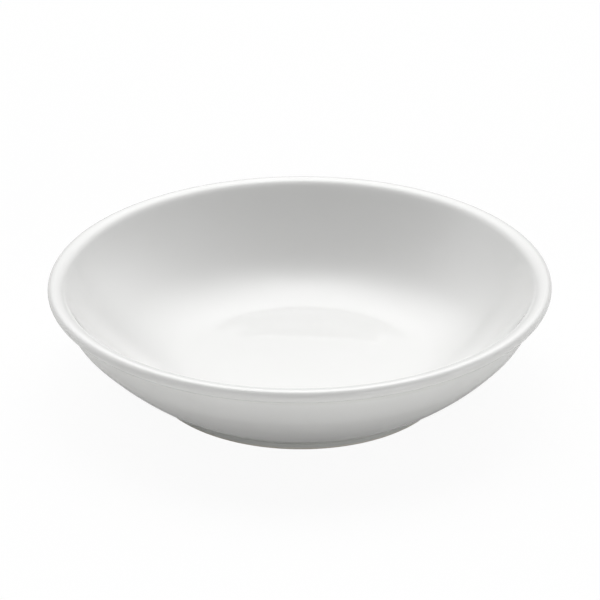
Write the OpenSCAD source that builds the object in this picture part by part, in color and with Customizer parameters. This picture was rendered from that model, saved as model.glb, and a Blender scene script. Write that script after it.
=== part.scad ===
// Shallow round dish for soy sauce, fired porcelain under a clear glaze.
// Lengths are in millimetres. The dish stands on its foot ring at z = 0, centred on the Z axis.

/* [Dish] */
// Diameter over the lip
rim_d = 100; // [94:1:106]
// Height from the table to the top of the lip
dish_h = 23.1; // [21:0.1:25]
// Thickness of the wall half way up, glaze included
wall_t = 3.2; // [2.6:0.1:3.6]

/* [Bowl] */
// Diameter of the flat floor inside
floor_d = 45; // [40:1:49]
// Thickness of the floor over the hollow of the foot, glaze included
floor_t = 2.75; // [2.2:0.05:3.4]

/* [Lip] */
// Radius of the bead along the outer edge of the lip
bead_r = 1.25; // [1:0.05:1.5]
// Turn of the outline round the bead before it enters the neck, in degrees
bead_turn = 200; // [185:1:210]
// Radius of the hollow neck under the bead
neck_r = 0.6; // [0.3:0.1:0.9]
// Slope of the wall just under the neck, in degrees
neck_slope = 80; // [76:1:84]

/* [Foot] */
// Outer diameter of the foot ring
foot_d = 59.6; // [54:0.2:64]
// Width of the foot ring
foot_w = 3.4; // [2.6:0.1:4.4]
// Height of the straight outer face of the foot ring
foot_rise = 1.2; // [0.9:0.1:2]
// Outward lean of that face, in degrees
foot_lean = 8; // [0:1:15]
// Inward lean of the inner face of the foot ring, in degrees
foot_inner_lean = 30; // [10:1:40]
// Radius of both lower edges of the foot ring
foot_edge_r = 0.5; // [0.3:0.1:0.7]
// Radius of the cove between the foot ring and the wall
cove_r = 0.5; // [0.3:0.1:1]
// Depth of the hollow inside the foot ring
well_h = 1.4; // [1.2:0.1:2]
// Radius of the corner of that hollow
well_r = 0.6; // [0.3:0.1:0.9]

/* [Glaze] */
// Thickness of the glaze
glaze_t = 0.25; // [0.15:0.05:0.4]

/* [Hidden] */

// Fineness of the turned form, and the largest turn in one step along its outline, in degrees
$fn = 180;
turn_step = 3;

// How far the slopes of the outer wall, at the foot and half way up, lie below and above its chord,
// as shares of the difference between the neck's slope and the chord's
flank_share = 0.51;
middle_share = 0.05;
// Slope at which the curve up from the floor goes over into the inner wall, as a share of the way
// from the slope at the foot to the slope half way up
bowl_share = 0.6;
// Steepest slope of the inner wall, under the lip, as a share of the way from the least slope that
// reaches the top of the lip to the neck's slope
lip_share = 0.37;

// The outline is walked from the middle of the floor, over the lip and down the outside, to the
// middle of the hollow under the dish. The porcelain is always on the walker's right hand.
// Each point of a walk is [radius, height, heading], with the heading in degrees from outwards.
function ahead(heading) = [cos(heading), sin(heading)];
function right_hand(heading) = [sin(heading), -cos(heading)];
function heading_of(way) = atan2(way.y, way.x);

// A turn about a centre, with a radius that is positive to the left and negative to the right.
// The walk already stands at the first point of a turn, so the list starts one step on.
function on_turn(centre, radius, heading) = centre + radius * right_hand(heading);
function turn(centre, radius, from, to) =
    let (steps = ceil(abs(to - from) / turn_step))
    [for (i = [1:steps])
        let (heading = from + (to - from) * i / steps)
        [each on_turn(centre, radius, heading), heading]];

// The radii of two turns in a row that join point p, heading from, to point q, heading to
function move(from, to) = [sin(to) - sin(from), cos(from) - cos(to)];
function cross2(a, b) = a.x * b.y - a.y * b.x;
function bend_radii(p, from, middle, to, q) =
    let (a = move(from, middle), b = move(middle, to), way = q - p)
    [cross2(way, b), cross2(a, way)] / cross2(a, b);
function bend_centres(p, from, middle, to, q) =
    let (radii = bend_radii(p, from, middle, to, q))
    let (first = p - radii[0] * right_hand(from))
    [first, on_turn(first, radii[0] - radii[1], middle)];
function bend(p, from, middle, to, q) =
    let (radii = bend_radii(p, from, middle, to, q))
    let (centres = bend_centres(p, from, middle, to, q))
    concat(turn(centres[0], radii[0], from, middle), turn(centres[1], radii[1], middle, to));

// Headings on the way: outwards over the floor and the lip, and inwards under the dish
outwards = 0;
inwards = -180;
downwards = -90;
upwards = -270;

// Bead and neck of the lip
bead_centre = [rim_d / 2 - bead_r, dish_h - bead_r];
lip_top = bead_centre + [0, bead_r];
neck_centre = on_turn(bead_centre, -(bead_r + neck_r), -bead_turn);
wall_top = on_turn(neck_centre, neck_r, neck_slope + inwards);

// Outer face of the foot ring, with its rounded lower edge and the cove above it
face_heading = downwards - foot_lean;
outer_edge_centre = [foot_d / 2 - foot_edge_r, foot_edge_r];
face_bottom = on_turn(outer_edge_centre, -foot_edge_r, face_heading);
face_l = (foot_rise - face_bottom.y) / cos(foot_lean);
face_top = face_bottom - face_l * ahead(face_heading);
cove_centre = face_top - cove_r * right_hand(face_heading);

// Outer wall, two turns between the neck and the cove
chord_slope = heading_of(wall_top - face_top);
flank_slope = chord_slope - flank_share * (neck_slope - chord_slope);
middle_slope = chord_slope + middle_share * (neck_slope - chord_slope);
wall_foot = on_turn(cove_centre, cove_r, flank_slope + inwards);
wall_radii = bend_radii(wall_top, neck_slope + inwards, middle_slope + inwards,
    flank_slope + inwards, wall_foot);
wall_centres = bend_centres(wall_top, neck_slope + inwards, middle_slope + inwards,
    flank_slope + inwards, wall_foot);

// Inner wall, a wall's thickness inside the flank of the outer one, and thinner towards the lip
flank_centre = wall_centres[1];
inner_flank_r = -wall_radii[1] - wall_t;
bowl_slope = flank_slope + bowl_share * (middle_slope - flank_slope);
inner_foot = on_turn(flank_centre, inner_flank_r, bowl_slope);
inner_middle = on_turn(flank_centre, inner_flank_r, middle_slope);
least_lip_slope = 2 * heading_of(lip_top - inner_middle) - middle_slope;
lip_slope = least_lip_slope + lip_share * (neck_slope - least_lip_slope);
floor_z = well_h + floor_t;
floor_edge = [floor_d / 2, floor_z];
bowl_chord_slope = heading_of(inner_foot - floor_edge);

// Hollow inside the foot ring
inner_edge_centre = [foot_d / 2 - foot_w + foot_edge_r, foot_edge_r];
inner_heading = upwards + foot_inner_lean;
inner_face_bottom = on_turn(inner_edge_centre, -foot_edge_r, inner_heading);
corner_z = well_h - well_r + well_r * right_hand(inner_heading).y;
inner_face_l = (corner_z - inner_face_bottom.y) / ahead(inner_heading).y;
inner_face_top = inner_face_bottom + inner_face_l * ahead(inner_heading);
corner_centre = inner_face_top - well_r * right_hand(inner_heading);

// The glazed walk, from the middle of the floor to the top of the foot's outer face
glazed_walk = concat(
    [[0, floor_z, outwards], [each floor_edge, outwards]],
    bend(floor_edge, outwards, bowl_chord_slope, bowl_slope, inner_foot),
    turn(flank_centre, inner_flank_r, bowl_slope, middle_slope),
    bend(inner_middle, middle_slope, lip_slope, outwards, lip_top),
    turn(bead_centre, -bead_r, outwards, -bead_turn),
    turn(neck_centre, neck_r, -bead_turn, neck_slope + inwards),
    bend(wall_top, neck_slope + inwards, middle_slope + inwards, flank_slope + inwards, wall_foot),
    turn(cove_centre, cove_r, flank_slope + inwards, face_heading)
);

// The bare walk round the lower edges of the foot and over the land between them
bare_walk = concat(
    [[each face_bottom, face_heading]],
    turn(outer_edge_centre, -foot_edge_r, face_heading, inwards),
    [[inner_edge_centre.x, 0, inwards]],
    turn(inner_edge_centre, -foot_edge_r, inwards, inner_heading)
);

// The glazed walk in the hollow of the foot, from its corner to the middle
well_walk = concat(
    [[each inner_face_top, inner_heading]],
    turn(corner_centre, well_r, inner_heading, inwards),
    [[0, well_h, inwards]]
);

// A walk drawn at a depth under the finished surface, forwards or back
function at_depth(walk, depth) =
    [for (point = walk) [point.x, point.y] + depth * right_hand(point.z)];
function backwards(points) = [for (i = [len(points) - 1:-1:0]) points[i]];

// Fired clay of the whole dish, bare only where it stands on the table
module porcelain_body() {
    color("#e8e4dc")
        rotate_extrude()
            polygon(concat(
                at_depth(glazed_walk, glaze_t),
                at_depth(bare_walk, 0),
                at_depth(well_walk, glaze_t)
            ));
}

// Glaze over the inside, the lip and the outside, thinning out at the lower edge of the foot
module glaze_coat() {
    color("#f6f7f7")
        rotate_extrude()
            polygon(concat(
                at_depth(glazed_walk, 0),
                [face_bottom],
                backwards(at_depth(glazed_walk, glaze_t))
            ));
}

// Glaze in the hollow of the foot, thinning out at the inner edge of the foot
module foot_well_glaze() {
    color("#eff1f0")
        rotate_extrude()
            polygon(concat(
                [inner_face_bottom],
                at_depth(well_walk, 0),
                backwards(at_depth(well_walk, glaze_t))
            ));
}

porcelain_body();
glaze_coat();
foot_well_glaze();
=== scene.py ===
"""A small round dish for soy sauce: white porcelain under a clear gloss glaze.

The outline is the CAD part's own. It is drawn in edit mode as a walk from the middle of the
floor, over the lip and down the outside to the foot, and spun about the dish's axis. The clay and
its two patches of glaze are closed shells of their own that meet face to face.
"""

import math
from collections import namedtuple

import bpy
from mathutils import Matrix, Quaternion, Vector


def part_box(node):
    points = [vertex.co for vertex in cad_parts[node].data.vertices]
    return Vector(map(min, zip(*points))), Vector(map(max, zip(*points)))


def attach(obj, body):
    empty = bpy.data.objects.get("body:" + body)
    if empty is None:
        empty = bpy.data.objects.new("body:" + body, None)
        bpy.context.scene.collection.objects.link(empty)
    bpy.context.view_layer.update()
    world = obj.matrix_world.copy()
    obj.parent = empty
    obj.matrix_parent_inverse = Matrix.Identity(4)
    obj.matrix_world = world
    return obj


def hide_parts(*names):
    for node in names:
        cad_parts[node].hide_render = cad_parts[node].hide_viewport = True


bl_info = {
    "name": "Soy Sauce Dish",
    "version": (1, 0, 0),
    "blender": (4, 5, 0),
    "location": "3D View > Sidebar > Dish",
    "description": "Models a glazed porcelain dish for soy sauce and sets its stage",
    "category": "Add Mesh",
}

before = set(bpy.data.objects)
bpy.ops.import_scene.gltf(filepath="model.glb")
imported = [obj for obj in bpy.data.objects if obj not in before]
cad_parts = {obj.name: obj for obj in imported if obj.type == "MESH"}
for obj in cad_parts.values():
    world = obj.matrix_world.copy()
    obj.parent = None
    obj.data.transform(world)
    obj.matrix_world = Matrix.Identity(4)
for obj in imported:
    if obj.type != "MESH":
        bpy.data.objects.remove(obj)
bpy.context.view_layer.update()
rim_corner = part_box("glaze_coat")[1]

MM = 0.001
BODY = "root"

# Headings of the walk, in radians from outwards
OUTWARDS = 0.0
INWARDS = -math.pi
DOWNWARDS = -math.pi / 2
UPWARDS = -3 * math.pi / 2


def length(name, text, default, least, most):
    """A size in metres."""
    return bpy.props.FloatProperty(
        name=name, description=text, default=default, min=least, max=most,
        precision=5, subtype="DISTANCE", unit="LENGTH",
    )


def angle(name, text, degrees, least, most):
    """An angle, given in degrees and kept in radians."""
    return bpy.props.FloatProperty(
        name=name, description=text, default=math.radians(degrees),
        min=math.radians(least), max=math.radians(most), subtype="ANGLE", unit="ROTATION",
    )


def linear(code):
    """The linear colour of an sRGB hex value."""
    shares = [int(code[i:i + 2], 16) / 255 for i in (1, 3, 5)]
    return [s / 12.92 if s <= 0.04045 else ((s + 0.055) / 1.055) ** 2.4 for s in shares]


def colour(name, text, code):
    """A colour, given as an sRGB hex value and kept as linear light."""
    return bpy.props.FloatVectorProperty(
        name=name, description=text, default=linear(code), size=3, min=0, max=1, subtype="COLOR",
    )


def share(name, text, default, most=1.0):
    """A plain number."""
    return bpy.props.FloatProperty(
        name=name, description=text, default=default, min=0, max=most, subtype="FACTOR",
    )


class DishSizes(bpy.types.PropertyGroup):
    """Sizes of the dish, the same as the CAD part's."""

    rim_width: length(
        "Rim", "Diameter over the lip", 2 * rim_corner.x, 90 * MM, 110 * MM)
    height: length(
        "Height", "From the table to the top of the lip", rim_corner.z, 20 * MM, 26 * MM)
    wall: length("Wall", "Thickness of the wall half way up", 3.2 * MM, 2.6 * MM, 3.6 * MM)
    floor_width: length("Floor", "Diameter of the flat floor inside", 45 * MM, 40 * MM, 49 * MM)
    floor: length(
        "Floor Thickness", "Thickness of the floor over the hollow of the foot", 2.75 * MM,
        2.2 * MM, 3.4 * MM)
    bead: length("Bead", "Radius of the bead along the lip", 1.25 * MM, 1 * MM, 1.5 * MM)
    bead_turn: angle("Bead Turn", "Turn of the outline round the bead", 200, 185, 210)
    neck: length("Neck", "Radius of the hollow neck under the bead", 0.6 * MM, 0.3 * MM, 0.9 * MM)
    neck_slope: angle("Neck Slope", "Slope of the wall just under the neck", 80, 76, 84)
    foot_width: length("Foot", "Outer diameter of the foot ring", 59.6 * MM, 54 * MM, 64 * MM)
    foot_ring: length("Foot Ring", "Width of the foot ring", 3.4 * MM, 2.6 * MM, 4.4 * MM)
    foot_rise: length(
        "Foot Rise", "Height of the straight outer face of the foot ring", 1.2 * MM, 0.9 * MM,
        2 * MM)
    foot_lean: angle("Foot Lean", "Outward lean of that face", 8, 0, 15)
    foot_inner_lean: angle("Inner Lean", "Inward lean of the ring's inner face", 30, 10, 40)
    foot_edge: length(
        "Foot Edge", "Radius of both lower edges of the foot ring", 0.5 * MM, 0.3 * MM, 0.7 * MM)
    cove: length(
        "Cove", "Radius of the cove between the foot ring and the wall", 0.5 * MM, 0.3 * MM,
        1 * MM)
    well: length("Well", "Depth of the hollow inside the foot ring", 1.4 * MM, 1.2 * MM, 2 * MM)
    well_corner: length(
        "Well Corner", "Radius of the corner of that hollow", 0.6 * MM, 0.3 * MM, 0.9 * MM)
    glaze: length("Glaze", "Thickness of the glaze", 0.25 * MM, 0.15 * MM, 0.4 * MM)
    bowl_offset: length(
        "Bowl Offset", "How far the floor inside lies off the axis, as pressed", 1.0 * MM, 0.0,
        1.5 * MM)
    rim_warp: length(
        "Rim Warp", "How far the lip rises at +X and drops at -X, as warped in firing", 0.6 * MM,
        0.0, 0.8 * MM)
    floor_sag: length(
        "Floor Sag", "How far the middle of the floor sinks in firing", 0.29 * MM, 0.0, 0.5 * MM)
    ripple: length(
        "Ripple", "Height of the slow waves that firing leaves in the walls", 0.015 * MM, 0.0,
        0.2 * MM)
    glaze_line: length(
        "Glaze Line", "How far the wiped edge of the glaze wanders up the foot", 0.2 * MM, 0.0,
        0.4 * MM)


class DishColours(bpy.types.PropertyGroup):
    """Colours of the clay and the glaze."""

    glaze: colour("Glaze", "Clear glaze over white clay", "#e2e2e1")
    # This darker colour stands for thicker glaze and, where laid in the hollow corners, for
    # painted shade
    pooled_glaze_and_shade: colour("Pooled Glaze", "Glaze where it ran together and is thicker", "#dcddda")
    speck: colour("Speck", "Rare specks of iron under the glaze", "#b8afa2")
    clay: colour("Clay", "Fired clay left bare", "#e8e4dc")
    clay_grain: colour("Clay Grain", "Darker grains of the bare clay", "#d2cabd")
    kiln_mark: colour("Kiln Mark", "Rubbed marks that the kiln shelf leaves", "#d8cfc0")


class StageSettings(bpy.types.PropertyGroup):
    """Floor, light and camera round the dish."""

    floor_size: length("Floor Size", "Side of the floor board", 8.0, 1.0, 20.0)
    paper: colour("Paper", "Colour of the board as the dish is lit by it", "#e1e1e0")
    floor_glow: share("Floor Glow", "Light of its own that the board shows to the eye", 0.93)
    floor_shade: share("Floor Shade", "Colour of the board that shows light and shadow", 0.095)
    gloss_glow: share("Gloss Glow", "Share of this look that gloss mirrors", 0.24)
    distance: length("Distance", "From the camera to the point that it looks at", 0.6, 0.3, 2.0)
    elevation: angle("Elevation", "Height of the camera above the horizon", 26.114, 0, 90)
    roll: angle("Roll", "Turn of the camera about its own axis", -0.468, -5, 5)
    aim_across: length("Aim Across", "Point looked at, along X", 0.108 * MM, -5 * MM, 5 * MM)
    aim_height: length("Aim Height", "Point looked at, along Z", 17.719 * MM, 0.0, 50 * MM)
    lens: bpy.props.FloatProperty(
        name="Lens", description="Focal length, in millimetres, for the sensor's width",
        default=180.468, min=50, max=300, unit="CAMERA")
    sensor: bpy.props.FloatProperty(
        name="Sensor", description="Width of the sensor, in millimetres", default=36,
        min=10, max=60, unit="CAMERA")
    near: length("Near", "Nearest distance that the camera shows", 0.01, 0.001, 0.1)


Turn = namedtuple("Turn", "centre radius start end")
Outline = namedtuple(
    "Outline", "floor_z well_z rise bowl lip outside bare well bowl_centre bowl_radius")


def right_hand(heading):
    """The way to the walker's right."""
    return Vector((math.sin(heading), -math.cos(heading)))


def ahead(heading):
    """The way the walker goes."""
    return Vector((math.cos(heading), math.sin(heading)))


def heading_of(way):
    """The heading that goes that way."""
    return math.atan2(way.y, way.x)


def on_turn(centre, radius, heading):
    """The place on a turn with that heading. A turn to the left has a radius above zero."""
    return centre + radius * right_hand(heading)


def bend(start, heading, middle, last, end):
    """Two turns in a row from one point and heading to another."""
    first = Vector((math.sin(middle) - math.sin(heading), math.cos(heading) - math.cos(middle)))
    second = Vector((math.sin(last) - math.sin(middle), math.cos(middle) - math.cos(last)))
    way = end - start
    near = way.cross(second) / first.cross(second)
    far = first.cross(way) / first.cross(second)
    centre = start - near * right_hand(heading)
    return [
        Turn(centre, near, heading, middle),
        Turn(on_turn(centre, near - far, middle), far, middle, last),
    ]


# Shares of the wall's slopes, as in the CAD part
FLANK_SHARE = 0.51
MIDDLE_SHARE = 0.05
BOWL_SHARE = 0.6
LIP_SHARE = 0.37


def plan_outline(s):
    """The walk round the dish's section as turns, each of [radius, height] and headings.

    The porcelain is always on the walker's right hand, and straight runs join the turns.
    """
    bead_centre = Vector((s.rim_width / 2 - s.bead, s.height - s.bead))
    lip_top = bead_centre + Vector((0, s.bead))
    neck_centre = on_turn(bead_centre, -(s.bead + s.neck), -s.bead_turn)
    wall_top = on_turn(neck_centre, s.neck, s.neck_slope + INWARDS)

    face = DOWNWARDS - s.foot_lean
    outer_edge = Vector((s.foot_width / 2 - s.foot_edge, s.foot_edge))
    face_bottom = on_turn(outer_edge, -s.foot_edge, face)
    face_top = face_bottom - (s.foot_rise - face_bottom.y) / math.cos(s.foot_lean) * ahead(face)
    cove_centre = face_top - s.cove * right_hand(face)

    chord = heading_of(wall_top - face_top)
    flank_slope = chord - FLANK_SHARE * (s.neck_slope - chord)
    middle_slope = chord + MIDDLE_SHARE * (s.neck_slope - chord)
    wall_foot = on_turn(cove_centre, s.cove, flank_slope + INWARDS)
    outer_wall = bend(
        wall_top, s.neck_slope + INWARDS, middle_slope + INWARDS, flank_slope + INWARDS,
        wall_foot)

    bowl_centre = outer_wall[1].centre
    bowl_radius = -outer_wall[1].radius - s.wall
    bowl_slope = flank_slope + BOWL_SHARE * (middle_slope - flank_slope)
    bowl_foot = on_turn(bowl_centre, bowl_radius, bowl_slope)
    bowl_middle = on_turn(bowl_centre, bowl_radius, middle_slope)
    least_slope = 2 * heading_of(lip_top - bowl_middle) - middle_slope
    lip_slope = least_slope + LIP_SHARE * (s.neck_slope - least_slope)
    floor_z = s.well + s.floor
    floor_edge = Vector((s.floor_width / 2, floor_z))

    inner_edge = Vector((s.foot_width / 2 - s.foot_ring + s.foot_edge, s.foot_edge))
    inner_face = UPWARDS + s.foot_inner_lean
    inner_bottom = on_turn(inner_edge, -s.foot_edge, inner_face)
    corner_z = s.well - s.well_corner + s.well_corner * right_hand(inner_face).y
    inner_top = inner_bottom + (corner_z - inner_bottom.y) / ahead(inner_face).y * ahead(
        inner_face)
    corner_centre = inner_top - s.well_corner * right_hand(inner_face)

    return Outline(
        floor_z=floor_z,
        well_z=s.well,
        rise=face_bottom.y,
        bowl=bend(floor_edge, OUTWARDS, heading_of(bowl_foot - floor_edge), bowl_slope, bowl_foot)
        + [Turn(bowl_centre, bowl_radius, bowl_slope, middle_slope)],
        lip=bend(bowl_middle, middle_slope, lip_slope, OUTWARDS, lip_top)
        + [Turn(bead_centre, -s.bead, OUTWARDS, -s.bead_turn)],
        outside=[Turn(neck_centre, s.neck, -s.bead_turn, s.neck_slope + INWARDS)]
        + outer_wall
        + [Turn(cove_centre, s.cove, flank_slope + INWARDS, face)],
        bare=[
            Turn(outer_edge, -s.foot_edge, face, INWARDS),
            Turn(inner_edge, -s.foot_edge, INWARDS, inner_face),
        ],
        well=[Turn(corner_centre, s.well_corner, inner_face, INWARDS)],
        bowl_centre=bowl_centre,
        bowl_radius=bowl_radius,
    )


# Fineness of the meshes: steps round the axis, and the longest step and greatest turn in a step
# along the outline
STEPS_ROUND = 240
STEP = 0.8 * MM
STEP_TURN = math.radians(9)
CLOSE = 0.001 * MM
# Faces that meet at less than this angle are shaded as one surface
SMOOTH_BELOW = math.radians(35)


def deselect_all():
    """Nothing stays selected, the CAD nodes least of all."""
    if bpy.context.object and bpy.context.object.mode != "OBJECT":
        bpy.ops.object.mode_set(mode="OBJECT")
    bpy.ops.object.select_all(action="DESELECT")


class Pen:
    """Draws a section in edit mode, in the half plane of +X, as one run of edges."""

    def __init__(self, name, place):
        """Starts from a small plane that is merged into one vertex."""
        deselect_all()
        bpy.ops.mesh.primitive_plane_add(size=MM, location=(0, 0, 0))
        self.piece = bpy.context.object
        self.piece.name = name
        self.piece.data.name = name
        bpy.ops.object.mode_set(mode="EDIT")
        bpy.ops.mesh.select_all(action="SELECT")
        bpy.ops.mesh.merge(type="CENTER")
        bpy.ops.transform.translate(value=(place.x, 0, place.y))
        self.place = place

    def line(self, end):
        """A straight run, extruded in steps."""
        way = end - self.place
        if way.length < CLOSE:
            return
        steps = math.ceil(way.length / (2 * STEP))
        for _ in range(steps):
            bpy.ops.mesh.extrude_region_move(
                TRANSFORM_OT_translate={"value": (way.x / steps, 0, way.y / steps)})
        self.place = end

    def turn(self, turn, depth):
        """A turn at a depth under the finished surface, spun about its centre."""
        radius = turn.radius + depth
        self.line(on_turn(turn.centre, radius, turn.start))
        swing = turn.end - turn.start
        steps = math.ceil(max(abs(radius * swing) / STEP, abs(swing) / STEP_TURN))
        bpy.ops.mesh.spin(
            steps=steps, angle=swing, center=(turn.centre.x, 0, turn.centre.y), axis=(0, 1, 0))
        self.place = on_turn(turn.centre, radius, turn.end)

    def turns(self, turns, depth):
        """Turns in a row, at one depth."""
        for turn in turns:
            self.turn(turn, depth)

    def back(self, turns, depth):
        """The same turns from their end to their start."""
        for turn in reversed(turns):
            self.turn(Turn(turn.centre, turn.radius, turn.end, turn.start), depth)

    def spin(self):
        """Turns the section about the dish's axis and closes its seam and poles."""
        bpy.ops.mesh.select_all(action="SELECT")
        bpy.ops.mesh.spin(
            steps=STEPS_ROUND, angle=2 * math.pi, center=(0, 0, 0), axis=(0, 0, 1))
        bpy.ops.mesh.select_all(action="SELECT")
        bpy.ops.mesh.remove_doubles(threshold=CLOSE)
        bpy.ops.mesh.normals_make_consistent(inside=False)
        bpy.ops.mesh.select_all(action="DESELECT")
        bpy.ops.object.mode_set(mode="OBJECT")
        return self.piece


def smooth_share(value, low, high):
    """0 below low, 1 above high, and an even sweep between them."""
    t = min(max((value - low) / (high - low), 0), 1)
    return t * t * (3 - 2 * t)


def weigh(piece, name, share_at):
    """A vertex group whose weights are a function of [radius, height] and of X over the radius."""
    group = piece.vertex_groups.new(name=name)
    for vertex in piece.data.vertices:
        radius = vertex.co.xy.length
        weight = share_at(Vector((radius, vertex.co.z)), vertex.co.x / max(radius, CLOSE))
        if weight > 0:
            group.add([vertex.index], weight, "REPLACE")
    return group.name


def cloud(name, size):
    """A soft noise for a Displace modifier, with blotches about as wide as size."""
    texture = bpy.data.textures.new(name, "CLOUDS")
    texture.noise_scale = size
    texture.noise_depth = 1
    return texture


def displace(piece, group, direction, strength, texture=None, level=0.0):
    """Moves the weighted vertices along an axis and applies the modifier."""
    modifier = piece.modifiers.new(group, "DISPLACE")
    modifier.vertex_group = group
    modifier.direction = direction
    modifier.strength = strength
    modifier.mid_level = level
    if texture:
        modifier.texture = texture
        modifier.texture_coords = "LOCAL"
    bpy.ops.object.modifier_apply(modifier=modifier.name)


# The lip's warp starts at this share of the height
WARP_START = 0.3
# Width of the slow waves in the walls, and their end above the foot in heights of its face
WAVE_SIZE = 16 * MM
WAVE_END = 4
# The sunken floor rises again in two sweeps, each from one share of the floor's radius to another
# and by a share of the sag
SAG_SWEEPS = ((0.49, 0.8, 0.17), (0.78, 1.06, 0.83))
# The faces inside the dish are those within this share of the wall from the bowl's surface, and
# within this many times the glaze under its floor
WALL_REACH = 0.3
FLOOR_REACH = 1.5
# Length of the wander of the glaze line
WANDER = 4 * MM


def fire(piece, outline, s):
    """What pressing and firing leave.

    A lip that rises on one side and drops on the other, a floor that sank and lies off the
    axis, and slow waves.
    """
    wall_limit = outline.bowl_radius + WALL_REACH * s.wall
    floor_limit = outline.floor_z - FLOOR_REACH * s.glaze
    bead_z = s.height - s.bead
    middle = s.floor_width / 2

    def inside(place):
        return (place - outline.bowl_centre).length < wall_limit and place.y > floor_limit

    def in_bowl(place, _):
        return smooth_share(bead_z - place.y, 0, bead_z - outline.floor_z) * inside(place)

    def on_floor(place, _):
        rise = sum(
            part * smooth_share(place.x, start * middle, end * middle)
            for start, end, part in SAG_SWEEPS)
        return (1 - rise) * inside(place)

    def above_foot(place, _):
        return smooth_share(place.y, s.foot_rise, WAVE_END * s.foot_rise)

    def high_right(place, side):
        rise = smooth_share(place.y, WARP_START * s.height, bead_z)
        return rise * max(side, 0) * place.x / (s.rim_width / 2)

    def high_left(place, side):
        return high_right(place, -side)

    displace(piece, weigh(piece, "warp_up", high_right), "Z", s.rim_warp)
    displace(piece, weigh(piece, "warp_down", high_left), "Z", -s.rim_warp)
    displace(piece, weigh(piece, "floor", on_floor), "Z", -s.floor_sag)
    displace(piece, weigh(piece, "bowl", in_bowl), "X", s.bowl_offset)
    displace(
        piece, weigh(piece, "waves", above_foot), "Z", s.ripple,
        cloud("firing_waves", WAVE_SIZE), level=1.0)
    piece.vertex_groups.clear()


def finish_piece(piece, material, node):
    """Smooth faces, material, and what the piece stands for in the frame."""
    bpy.ops.object.shade_smooth_by_angle(angle=SMOOTH_BELOW)
    piece.data.materials.clear()
    piece.data.materials.append(material)
    deselect_all()
    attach(piece, BODY)
    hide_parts(node)


def add(tree, kind, settings=None, sockets=None):
    """Adds a node, sets its settings, and sets or links its sockets."""
    node = tree.nodes.new(kind)
    for name, value in (settings or {}).items():
        setattr(node, name, value)
    for name, value in (sockets or {}).items():
        if isinstance(value, bpy.types.NodeSocket):
            tree.links.new(value, node.inputs[name])
        else:
            node.inputs[name].default_value = value
    return node


def new_material(name):
    """An empty material with its output."""
    material = bpy.data.materials.new(name)
    material.use_nodes = True
    material.node_tree.nodes.clear()
    output = add(material.node_tree, "ShaderNodeOutputMaterial")
    return material, material.node_tree, output


# Width of the glaze pooling and painted shade round a hollow corner, in radii of the neck:
# full within the first, gone past the second
POOL_AND_SHADE_WIDTH = (1.0, 2.4)


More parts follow.
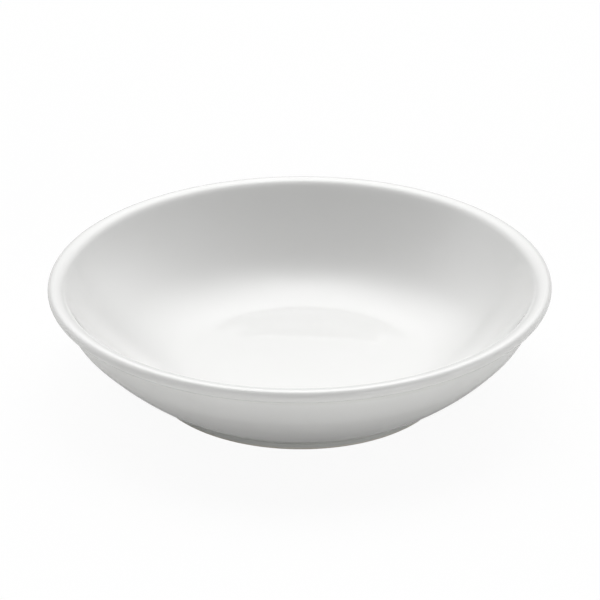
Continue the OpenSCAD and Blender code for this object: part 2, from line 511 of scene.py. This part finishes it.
def glazed_porcelain(name, colours, s, pool_and_shade_rings):
    """White porcelain under a clear gloss glaze, dipped and fired.

    A wet, even gloss with the faintest orange peel. It runs together in hollow corners, where it
    looks a touch deeper and darker: the tint is the thicker glaze's, and the darkening is painted
    shade. It holds a few pinholes and iron specks that only a close look finds.
    """
    material, tree, output = new_material(name)
    place = add(tree, "ShaderNodeTexCoord").outputs["Object"]

    # Glaze runs together round the hollow corners, each a ring of [radius, height]. Its colour
    # there is a faint tint of thicker glaze with painted shade in the creases
    flat = add(tree, "ShaderNodeVectorMath", {"operation": "MULTIPLY"}, {0: place, 1: (1, 1, 0)})
    radius = add(tree, "ShaderNodeVectorMath", {"operation": "LENGTH"}, {0: flat.outputs[0]})
    height = add(tree, "ShaderNodeSeparateXYZ", {}, {0: place})
    section = add(
        tree, "ShaderNodeCombineXYZ", {},
        {"X": radius.outputs["Value"], "Y": height.outputs["Z"]})
    depth = None
    for ring in pool_and_shade_rings:
        away = add(
            tree, "ShaderNodeVectorMath", {"operation": "DISTANCE"},
            {0: section.outputs[0], 1: (ring.x, ring.y, 0)})
        pool_and_shade = add(
            tree, "ShaderNodeMapRange", {"interpolation_type": "SMOOTHSTEP"},
            {"Value": away.outputs["Value"], "From Min": POOL_AND_SHADE_WIDTH[0] * s.neck,
             "From Max": POOL_AND_SHADE_WIDTH[1] * s.neck, "To Min": 1.0, "To Max": 0.0})
        if depth is None:
            depth = pool_and_shade.outputs[0]
        else:
            depth = add(
                tree, "ShaderNodeMath", {"operation": "MAXIMUM"},
                {0: depth, 1: pool_and_shade.outputs[0]}).outputs[0]

    # Slow changes in the depth of the glaze, about 20 mm wide
    drift = add(
        tree, "ShaderNodeTexNoise", {},
        {"Vector": place, "Scale": 1 / (20 * MM), "Detail": 2.0, "Roughness": 0.5})
    drifted = add(
        tree, "ShaderNodeMapRange", {},
        {"Value": drift.outputs[0], "From Min": 0.35, "From Max": 0.75, "To Max": 0.18})
    deep_glaze_and_shade = add(
        tree, "ShaderNodeMath", {"operation": "MAXIMUM"}, {0: depth, 1: drifted.outputs[0]})
    # The darker colour follows the corner rings, which hold painted shade, and the slow random
    # changes
    skin = add(
        tree, "ShaderNodeMix", {"data_type": "RGBA"},
        {"Factor": deep_glaze_and_shade.outputs[0], 6: (*colours.glaze, 1), 7: (*colours.pooled_glaze_and_shade, 1)})

    # Specks of iron, about one in a square of 30 mm; real ones are 0.1 mm, and these are drawn
    # 0.2 mm wide so that they show at all
    cells = add(
        tree, "ShaderNodeTexVoronoi", {}, {"Vector": place, "Scale": 1 / (6 * MM)})
    near = add(
        tree, "ShaderNodeMapRange", {"interpolation_type": "SMOOTHSTEP"},
        {"Value": cells.outputs["Distance"], "From Min": 0.008, "From Max": 0.02,
         "To Min": 0.5, "To Max": 0.0})
    speck = add(
        tree, "ShaderNodeMix", {"data_type": "RGBA"},
        {"Factor": near.outputs[0], 6: skin.outputs[2], 7: (*colours.speck, 1)})

    # Orange peel about 3 mm wide, and pinholes under half a millimetre
    peel = add(
        tree, "ShaderNodeTexNoise", {},
        {"Vector": place, "Scale": 1 / (3 * MM), "Detail": 1.0, "Roughness": 0.4})
    pinhole_cells = add(
        tree, "ShaderNodeTexVoronoi", {}, {"Vector": place, "Scale": 1 / (4 * MM)})
    pinhole = add(
        tree, "ShaderNodeMapRange", {"interpolation_type": "SMOOTHSTEP"},
        {"Value": pinhole_cells.outputs["Distance"], "From Min": 0.01, "From Max": 0.04})
    peel_bump = add(
        tree, "ShaderNodeBump", {},
        {"Strength": 1.0, "Distance": 0.003 * MM, "Height": peel.outputs[0]})
    bump = add(
        tree, "ShaderNodeBump", {},
        {"Strength": 1.0, "Distance": 0.01 * MM, "Height": pinhole.outputs[0],
         "Normal": peel_bump.outputs[0]})

    # The gloss dulls a little where the glaze is thin, and in the pinholes
    worn = add(
        tree, "ShaderNodeMapRange", {},
        {"Value": drift.outputs[0], "From Min": 0.3, "From Max": 0.7, "To Min": 0.024,
         "To Max": 0.036})
    shader = add(
        tree, "ShaderNodeBsdfPrincipled", {},
        {"Base Color": speck.outputs[2], "Roughness": worn.outputs[0], "IOR": 1.52,
         "Normal": bump.outputs[0]})
    tree.links.new(shader.outputs[0], output.inputs["Surface"])
    return material


def bare_porcelain(colours):
    """Porcelain clay, pressed, fired and left bare, and rubbed smooth on the land of the foot.

    Matt and slightly warm against the glaze, with a fine dry grain and faint kiln marks.
    """
    material, tree, output = new_material("pressed_bare_porcelain")
    place = add(tree, "ShaderNodeTexCoord").outputs["Object"]

    # Grains of the clay, 0.05 mm in truth and drawn 0.3 mm wide so that they show
    grain = add(
        tree, "ShaderNodeTexNoise", {},
        {"Vector": place, "Scale": 1 / (0.3 * MM), "Detail": 3.0, "Roughness": 0.6})
    dark = add(
        tree, "ShaderNodeMapRange", {},
        {"Value": grain.outputs[0], "From Min": 0.5, "From Max": 0.75, "To Max": 0.6})
    grained = add(
        tree, "ShaderNodeMix", {"data_type": "RGBA"},
        {"Factor": dark.outputs[0], 6: (*colours.clay, 1), 7: (*colours.clay_grain, 1)})

    # Marks of the kiln shelf, some 7 mm long
    rubbed = add(
        tree, "ShaderNodeTexNoise", {},
        {"Vector": place, "Scale": 1 / (7 * MM), "Detail": 4.0, "Roughness": 0.65})
    marks = add(
        tree, "ShaderNodeMapRange", {},
        {"Value": rubbed.outputs[0], "From Min": 0.5, "From Max": 0.7, "To Max": 0.7})
    marked = add(
        tree, "ShaderNodeMix", {"data_type": "RGBA"},
        {"Factor": marks.outputs[0], 6: grained.outputs[2], 7: (*colours.kiln_mark, 1)})

    dry = add(
        tree, "ShaderNodeMapRange", {},
        {"Value": rubbed.outputs[0], "From Min": 0.3, "From Max": 0.7, "To Min": 0.82,
         "To Max": 0.62})
    bump = add(
        tree, "ShaderNodeBump", {},
        {"Strength": 1.0, "Distance": 0.02 * MM, "Height": grain.outputs[0]})
    shader = add(
        tree, "ShaderNodeBsdfPrincipled", {},
        {"Base Color": marked.outputs[2], "Roughness": dry.outputs[0], "IOR": 1.5,
         "Normal": bump.outputs[0]})
    tree.links.new(shader.outputs[0], output.inputs["Surface"])
    return material


def white_board(stage):
    """Matt white paper board. Seen directly it is nearly even white, with a faint shadow.

    In gloss it looks the same in part, and the dish's shadow on it shows more.
    """
    material, tree, output = new_material("matt_white_board")
    material.cycles.emission_sampling = "NONE"
    rays = add(tree, "ShaderNodeLightPath").outputs
    direct = add(
        tree, "ShaderNodeMath", {"operation": "MAXIMUM"},
        {0: rays["Is Camera Ray"], 1: rays["Is Transmission Ray"]})
    seen = add(
        tree, "ShaderNodeMath", {"operation": "MULTIPLY_ADD"},
        {0: rays["Is Glossy Ray"], 1: stage.gloss_glow, 2: direct.outputs[0]})
    paper = add(
        tree, "ShaderNodeBsdfDiffuse", {}, {"Color": (*stage.paper, 1), "Roughness": 1.0})
    white = add(
        tree, "ShaderNodeEmission", {}, {"Color": (1, 1, 1, 1), "Strength": stage.floor_glow})
    shadow = add(
        tree, "ShaderNodeBsdfDiffuse", {},
        {"Color": (*3 * [stage.floor_shade], 1), "Roughness": 1.0})
    bright = add(tree, "ShaderNodeAddShader", {}, {0: white.outputs[0], 1: shadow.outputs[0]})
    mix = add(
        tree, "ShaderNodeMixShader", {},
        {0: seen.outputs[0], 1: paper.outputs[0], 2: bright.outputs[0]})
    tree.links.new(mix.outputs[0], output.inputs["Surface"])
    return material


# Soft lights of the tent, each a glow that fades evenly round its middle: bearing from straight
# behind the dish towards +X and height in degrees, strength, and how quickly it fades
TENT_LIGHTS = (
    (30, 75, 1.96, 30.0),
    (330, 75, 1.96, 30.0),
    (40, 62, 1.83, 16.0),
    (320, 62, 1.83, 16.0),
    (0, 50, 1.88, 16.0),
    (40, 42, 1.64, 16.0),
    (320, 42, 1.64, 16.0),
    (275, 36, 0.18, 20.0),
    (0, 34, 0.18, 16.0),
    (40, 20, 0.53, 16.0),
    (320, 20, 0.53, 16.0),
    (280, 18, 0.8, 20.0),
    (150, 14, 1.0, 40.0),
    (210, 6, 1.4, 16.0),
    (240, 6, 0.1, 16.0),
    (105, 2, 4.1, 60.0),
    (135, 2, 3.6, 60.0),
    (150, 2, 2.2, 60.0),
)


def light_tent():
    """A white tent lit from behind and above, dimmer at the sides and towards the camera.

    Seen directly it is plain white. Gloss mirrors the tent as it is lit.
    """
    world = bpy.data.worlds.new("light_tent")
    world.use_nodes = True
    tree = world.node_tree
    tree.nodes.clear()
    way = add(tree, "ShaderNodeTexCoord").outputs["Generated"]
    total = None
    for bearing, height, strength, fade in TENT_LIGHTS:
        b, h = math.radians(bearing), math.radians(height)
        middle = (math.cos(h) * math.sin(b), math.cos(h) * math.cos(b), math.sin(h))
        cosine = add(
            tree, "ShaderNodeVectorMath", {"operation": "DOT_PRODUCT"}, {0: way, 1: middle})
        off = add(
            tree, "ShaderNodeMath", {"operation": "MULTIPLY_ADD"},
            {0: cosine.outputs["Value"], 1: fade, 2: -fade})
        glow = add(tree, "ShaderNodeMath", {"operation": "EXPONENT"}, {0: off.outputs[0]})
        total = add(
            tree, "ShaderNodeMath", {"operation": "MULTIPLY_ADD"},
            {0: glow.outputs[0], 1: strength, 2: 0.0 if total is None else total}
        ).outputs[0]
    rays = add(tree, "ShaderNodeLightPath").outputs
    seen = add(
        tree, "ShaderNodeMath", {"operation": "MAXIMUM"},
        {0: rays["Is Camera Ray"], 1: rays["Is Transmission Ray"]})
    strength = add(
        tree, "ShaderNodeMix", {"data_type": "FLOAT"}, {0: seen.outputs[0], 2: total, 3: 1.0})
    background = add(
        tree, "ShaderNodeBackground", {},
        {"Color": (1, 1, 1, 1), "Strength": strength.outputs[0]})
    add(tree, "ShaderNodeOutputWorld", {}, {"Surface": background.outputs[0]})
    return world


class DISH_OT_porcelain_body(bpy.types.Operator):
    """Model the fired clay of the whole dish, bare where it stands"""

    bl_idname = "dish.porcelain_body"
    bl_label = "Porcelain Body"

    def execute(self, context):
        s, colours = context.scene.dish_sizes, context.scene.dish_colours
        outline = plan_outline(s)
        pen = Pen("porcelain_body_pressed", Vector((0, outline.floor_z - s.glaze)))
        pen.turns(outline.bowl + outline.lip + outline.outside, s.glaze)
        pen.turns(outline.bare, 0)
        pen.turns(outline.well, s.glaze)
        pen.line(Vector((0, outline.well_z + s.glaze)))
        piece = pen.spin()
        fire(piece, outline, s)
        finish_piece(piece, bare_porcelain(colours), "porcelain_body")
        return {"FINISHED"}


class DISH_OT_glaze_coat(bpy.types.Operator):
    """Model the glaze over the inside, the lip and the outside"""

    bl_idname = "dish.glaze_coat"
    bl_label = "Glaze Coat"

    def execute(self, context):
        s, colours = context.scene.dish_sizes, context.scene.dish_colours
        outline = plan_outline(s)
        walk = outline.bowl + outline.lip + outline.outside
        pen = Pen("glaze_coat_dipped", Vector((0, outline.floor_z)))
        pen.turns(walk, 0)
        foot = outline.bare[0]
        pen.line(on_turn(foot.centre, foot.radius, foot.start))
        pen.back(walk, s.glaze)
        pen.line(Vector((0, outline.floor_z - s.glaze)))
        piece = pen.spin()
        fire(piece, outline, s)

        def wiped_edge(place, _):
            return 1 if place.y < outline.rise + s.glaze / 2 else 0

        displace(
            piece, weigh(piece, "wiped_edge", wiped_edge), "Z", s.glaze_line,
            cloud("glaze_line", WANDER))
        piece.vertex_groups.clear()
        # The rings of thicker glaze and painted shade lie in the neck under the bead and the cove
        # above the foot
        neck, cove = outline.outside[0], outline.outside[-1]
        material = glazed_porcelain(
            "dipped_gloss_glaze", colours, s,
            (on_turn(neck.centre, neck.radius, neck.end), cove.centre))
        finish_piece(piece, material, "glaze_coat")
        return {"FINISHED"}


class DISH_OT_foot_well_glaze(bpy.types.Operator):
    """Model the patch of glaze in the hollow of the foot"""

    bl_idname = "dish.foot_well_glaze"
    bl_label = "Foot Well Glaze"

    def execute(self, context):
        s, colours = context.scene.dish_sizes, context.scene.dish_colours
        outline = plan_outline(s)
        edge = outline.bare[-1]
        start = on_turn(edge.centre, edge.radius, edge.end)
        pen = Pen("foot_well_glaze_brushed", Vector((0, outline.well_z)))
        pen.back(outline.well, 0)
        pen.line(start)
        pen.turns(outline.well, s.glaze)
        pen.line(Vector((0, outline.well_z + s.glaze)))
        piece = pen.spin()
        # The ring of thicker glaze and painted shade lies in the corner of the hollow
        corner = outline.well[0]
        material = glazed_porcelain("brushed_gloss_glaze", colours, s, (corner.centre,))
        finish_piece(piece, material, "foot_well_glaze")
        return {"FINISHED"}


class DISH_OT_stage(bpy.types.Operator):
    """Set the floor, the light and the camera"""

    bl_idname = "dish.stage"
    bl_label = "Stage"

    def execute(self, context):
        stage = context.scene.dish_stage
        deselect_all()
        bpy.ops.mesh.primitive_plane_add(size=stage.floor_size, location=(0, 0, 0))
        board = context.object
        board.name = "floor_board"
        board.data.materials.append(white_board(stage))

        context.scene.world = light_tent()

        back = Vector((0, -math.cos(stage.elevation), math.sin(stage.elevation)))
        aim = Vector((stage.aim_across, 0, stage.aim_height))
        bpy.ops.object.camera_add(location=aim + stage.distance * back)
        camera = context.object
        camera.name = "camera"
        level = (-back).to_track_quat("-Z", "Y")
        camera.rotation_euler = (level @ Quaternion((0, 0, 1), -stage.roll)).to_euler()
        camera.data.sensor_width = stage.sensor
        camera.data.lens = stage.lens
        camera.data.clip_start = stage.near
        context.scene.camera = camera
        context.scene.view_settings.view_transform = "Standard"
        deselect_all()
        return {"FINISHED"}


class DISH_PT_sidebar(bpy.types.Panel):
    """The dish's pieces, sizes and colours"""

    bl_idname = "DISH_PT_sidebar"
    bl_label = "Soy Sauce Dish"
    bl_space_type = "VIEW_3D"
    bl_region_type = "UI"
    bl_category = "Dish"

    def draw(self, context):
        for operator in OPERATORS:
            self.layout.operator(operator.bl_idname)
        for group in (
                context.scene.dish_sizes, context.scene.dish_colours, context.scene.dish_stage):
            box = self.layout.box()
            for name in group.__annotations__:
                box.prop(group, name)


OPERATORS = (
    DISH_OT_porcelain_body, DISH_OT_glaze_coat, DISH_OT_foot_well_glaze, DISH_OT_stage)
GROUPS = {"dish_sizes": DishSizes, "dish_colours": DishColours, "dish_stage": StageSettings}


def register():
    for kind in (*GROUPS.values(), *OPERATORS, DISH_PT_sidebar):
        bpy.utils.register_class(kind)
    for name, group in GROUPS.items():
        setattr(bpy.types.Scene, name, bpy.props.PointerProperty(type=group))


def unregister():
    for name in GROUPS:
        delattr(bpy.types.Scene, name)
    for kind in reversed((*GROUPS.values(), *OPERATORS, DISH_PT_sidebar)):
        bpy.utils.unregister_class(kind)


def main():
    register()
    bpy.ops.dish.porcelain_body()
    bpy.ops.dish.glaze_coat()
    bpy.ops.dish.foot_well_glaze()
    bpy.ops.dish.stage()


if __name__ == "__main__":
    main()
